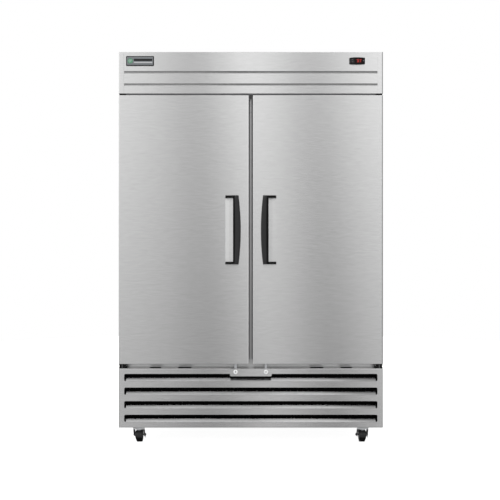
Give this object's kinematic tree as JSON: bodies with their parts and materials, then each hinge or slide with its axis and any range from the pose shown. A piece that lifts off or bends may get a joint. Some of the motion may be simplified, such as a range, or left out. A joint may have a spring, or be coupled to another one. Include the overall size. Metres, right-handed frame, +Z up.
{
  "type": "reach in refrigerator",
  "caption": "Upright two-section reach-in refrigerator in brushed stainless steel, with hinged solid doors, louvred lower grille, digital thermostat, key locks and casters.",
  "frame": {"origin": "on the floor under the middle of the bounding box", "axes": "+Z up, -Y towards the front (the doors), +X to the right as seen from the front"},
  "size_m": [1.38, 0.82, 2.062],
  "materials": {
    "steel": "vertically brushed stainless",
    "panel": "satin stainless outer sheet",
    "foam": "rigid polyurethane foam",
    "liner": "satin aluminium liner",
    "white": "smooth moulded white",
    "gasket": "soft dark grey vinyl",
    "black": "fine-grained black plastic",
    "black_paint": "semi-matte black",
    "chrome": "polished",
    "display": "dark red-tinted window",
    "badge": "printed plate",
    "wire": "epoxy-coated wire",
    "zinc": "bright zinc plate",
    "tread": "moulded black rubber",
    "coil": "black-coated fins",
    "fins": "bare fins"
  },
  "bodies": {
    "cabinet": {"side_panel_left": "panel", "side_panel_right": "panel", "top_panel": "panel", "back_panel": "panel", "cabinet_insulation": "foam", "interior_liner": "liner", "front_frame": "steel", "header_fascia": "steel", "name_badge": "badge", "controller_bezel": "black", "controller_window": "display", "front_grille": "steel", "lock_bracket": "steel", "base_frame": "panel", "rear_cover": "panel", "compressor": "black_paint", "condenser_coil": "coil", "condenser_fan_shroud": "panel", "evaporator_housing": "white", "evaporator_coil": "fins", "upper_hinge_left": "black_paint", "upper_hinge_right": "black_paint", "lower_hinge_left": "black_paint", "lower_hinge_right": "black_paint", "shelf_left_lower": "wire", "shelf_left_middle": "wire", "shelf_left_upper": "wire", "shelf_right_lower": "wire", "shelf_right_middle": "wire", "shelf_right_upper": "wire"},
    "door_left": {"door_skin_left": "steel", "door_insulation_left": "foam", "door_liner_left": "white", "door_gasket_left": "gasket", "door_handle_left": "black"},
    "door_right": {"door_skin_right": "steel", "door_insulation_right": "foam", "door_liner_right": "white", "door_gasket_right": "gasket", "door_handle_right": "black"},
    "lock_barrel_left": {"lock_barrel_left": "chrome"},
    "lock_bolt_left": {"lock_bolt_left": "panel"},
    "lock_barrel_right": {"lock_barrel_right": "chrome"},
    "lock_bolt_right": {"lock_bolt_right": "panel"},
    "button_up": {"button_up": "black_paint"},
    "button_down": {"button_down": "black_paint"},
    "button_set": {"button_set": "black_paint"},
    "condenser_fan": {"condenser_fan": "fins"},
    "evaporator_fan_left": {"evaporator_fan_left": "black"},
    "evaporator_fan_right": {"evaporator_fan_right": "black"},
    "caster_fork_front_left": {"caster_fork_front_left": "zinc"},
    "caster_wheel_front_left": {"caster_wheel_front_left": "tread"},
    "caster_brake_front_left": {"caster_brake_front_left": "black"},
    "caster_fork_front_right": {"caster_fork_front_right": "zinc"},
    "caster_wheel_front_right": {"caster_wheel_front_right": "tread"},
    "caster_brake_front_right": {"caster_brake_front_right": "black"},
    "caster_fork_back_left": {"caster_fork_back_left": "zinc"},
    "caster_wheel_back_left": {"caster_wheel_back_left": "tread"},
    "caster_fork_back_right": {"caster_fork_back_right": "zinc"},
    "caster_wheel_back_right": {"caster_wheel_back_right": "tread"}
  },
  "joints": [
    {"name": "door_left_swing", "type": "hinge", "parent": "cabinet", "child": "door_left", "pos_m": [-0.672, -0.359, 0.4318], "axis": [0, 0, -1], "range_deg": [0, 120], "stiffness_Nm_per_rad": 0.8},
    {"name": "door_right_swing", "type": "hinge", "parent": "cabinet", "child": "door_right", "pos_m": [0.672, -0.359, 0.4318], "axis": [0, 0, 1], "range_deg": [0, 120], "stiffness_Nm_per_rad": 0.8},
    {"name": "lock_left_turn", "type": "hinge", "parent": "cabinet", "child": "lock_barrel_left", "pos_m": [-0.0795, -0.3873, 0.3916], "axis": [0, -1, 0], "range_deg": [0, 90]},
    {"name": "lock_left_bolt", "type": "slide", "parent": "cabinet", "child": "lock_bolt_left", "axis": [0, 0, 1], "range_m": [0, 0.012]},
    {"name": "lock_right_turn", "type": "hinge", "parent": "cabinet", "child": "lock_barrel_right", "pos_m": [0.0795, -0.3873, 0.3916], "axis": [0, -1, 0], "range_deg": [0, 90]},
    {"name": "lock_right_bolt", "type": "slide", "parent": "cabinet", "child": "lock_bolt_right", "axis": [0, 0, 1], "range_m": [0, 0.012]},
    {"name": "button_up_press", "type": "slide", "parent": "cabinet", "child": "button_up", "axis": [0, 1, 0], "range_m": [0, 0.0006], "stiffness_N_per_m": 300},
    {"name": "button_down_press", "type": "slide", "parent": "cabinet", "child": "button_down", "axis": [0, 1, 0], "range_m": [0, 0.0006], "stiffness_N_per_m": 300},
    {"name": "button_set_press", "type": "slide", "parent": "cabinet", "child": "button_set", "axis": [0, 1, 0], "range_m": [0, 0.0006], "stiffness_N_per_m": 300},
    {"name": "condenser_fan_spin", "type": "hinge", "parent": "cabinet", "child": "condenser_fan", "pos_m": [-0.15, -0.168, 0.2387], "axis": [0, 1, 0], "continuous": true},
    {"name": "evaporator_fan_left_spin", "type": "hinge", "parent": "cabinet", "child": "evaporator_fan_left", "pos_m": [-0.2, -0.03, 1.9175], "axis": [0, 1, 0], "continuous": true},
    {"name": "evaporator_fan_right_spin", "type": "hinge", "parent": "cabinet", "child": "evaporator_fan_right", "pos_m": [0.2, -0.03, 1.9175], "axis": [0, 1, 0], "continuous": true},
    {"name": "caster_front_left_swivel", "type": "hinge", "parent": "cabinet", "child": "caster_fork_front_left", "pos_m": [-0.5955, -0.292, 0.1], "axis": [0, 0, 1], "continuous": true},
    {"name": "caster_front_left_roll", "type": "hinge", "parent": "caster_fork_front_left", "child": "caster_wheel_front_left", "pos_m": [-0.5955, -0.27, 0.038], "axis": [1, 0, 0], "continuous": true},
    {"name": "caster_front_left_brake", "type": "hinge", "parent": "caster_fork_front_left", "child": "caster_brake_front_left", "pos_m": [-0.5955, -0.256, 0.0805], "axis": [-1, 0, 0], "range_deg": [0, 10]},
    {"name": "caster_front_right_swivel", "type": "hinge", "parent": "cabinet", "child": "caster_fork_front_right", "pos_m": [0.5955, -0.292, 0.1], "axis": [0, 0, 1], "continuous": true},
    {"name": "caster_front_right_roll", "type": "hinge", "parent": "caster_fork_front_right", "child": "caster_wheel_front_right", "pos_m": [0.5955, -0.27, 0.038], "axis": [1, 0, 0], "continuous": true},
    {"name": "caster_front_right_brake", "type": "hinge", "parent": "caster_fork_front_right", "child": "caster_brake_front_right", "pos_m": [0.5955, -0.256, 0.0805], "axis": [-1, 0, 0], "range_deg": [0, 10]},
    {"name": "caster_back_left_swivel", "type": "hinge", "parent": "cabinet", "child": "caster_fork_back_left", "pos_m": [-0.5955, 0.3, 0.1], "axis": [0, 0, 1], "continuous": true},
    {"name": "caster_back_left_roll", "type": "hinge", "parent": "caster_fork_back_left", "child": "caster_wheel_back_left", "pos_m": [-0.5955, 0.322, 0.038], "axis": [1, 0, 0], "continuous": true},
    {"name": "caster_back_right_swivel", "type": "hinge", "parent": "cabinet", "child": "caster_fork_back_right", "pos_m": [0.5955, 0.3, 0.1], "axis": [0, 0, 1], "continuous": true},
    {"name": "caster_back_right_roll", "type": "hinge", "parent": "caster_fork_back_right", "child": "caster_wheel_back_right", "pos_m": [0.5955, 0.322, 0.038], "axis": [1, 0, 0], "continuous": true}
  ],
  "couplings": [
    {"joint": "lock_left_bolt", "follows": "lock_left_turn", "m_per_rad": 0.0076394},
    {"joint": "lock_right_bolt", "follows": "lock_right_turn", "m_per_rad": 0.0076394}
  ]
}
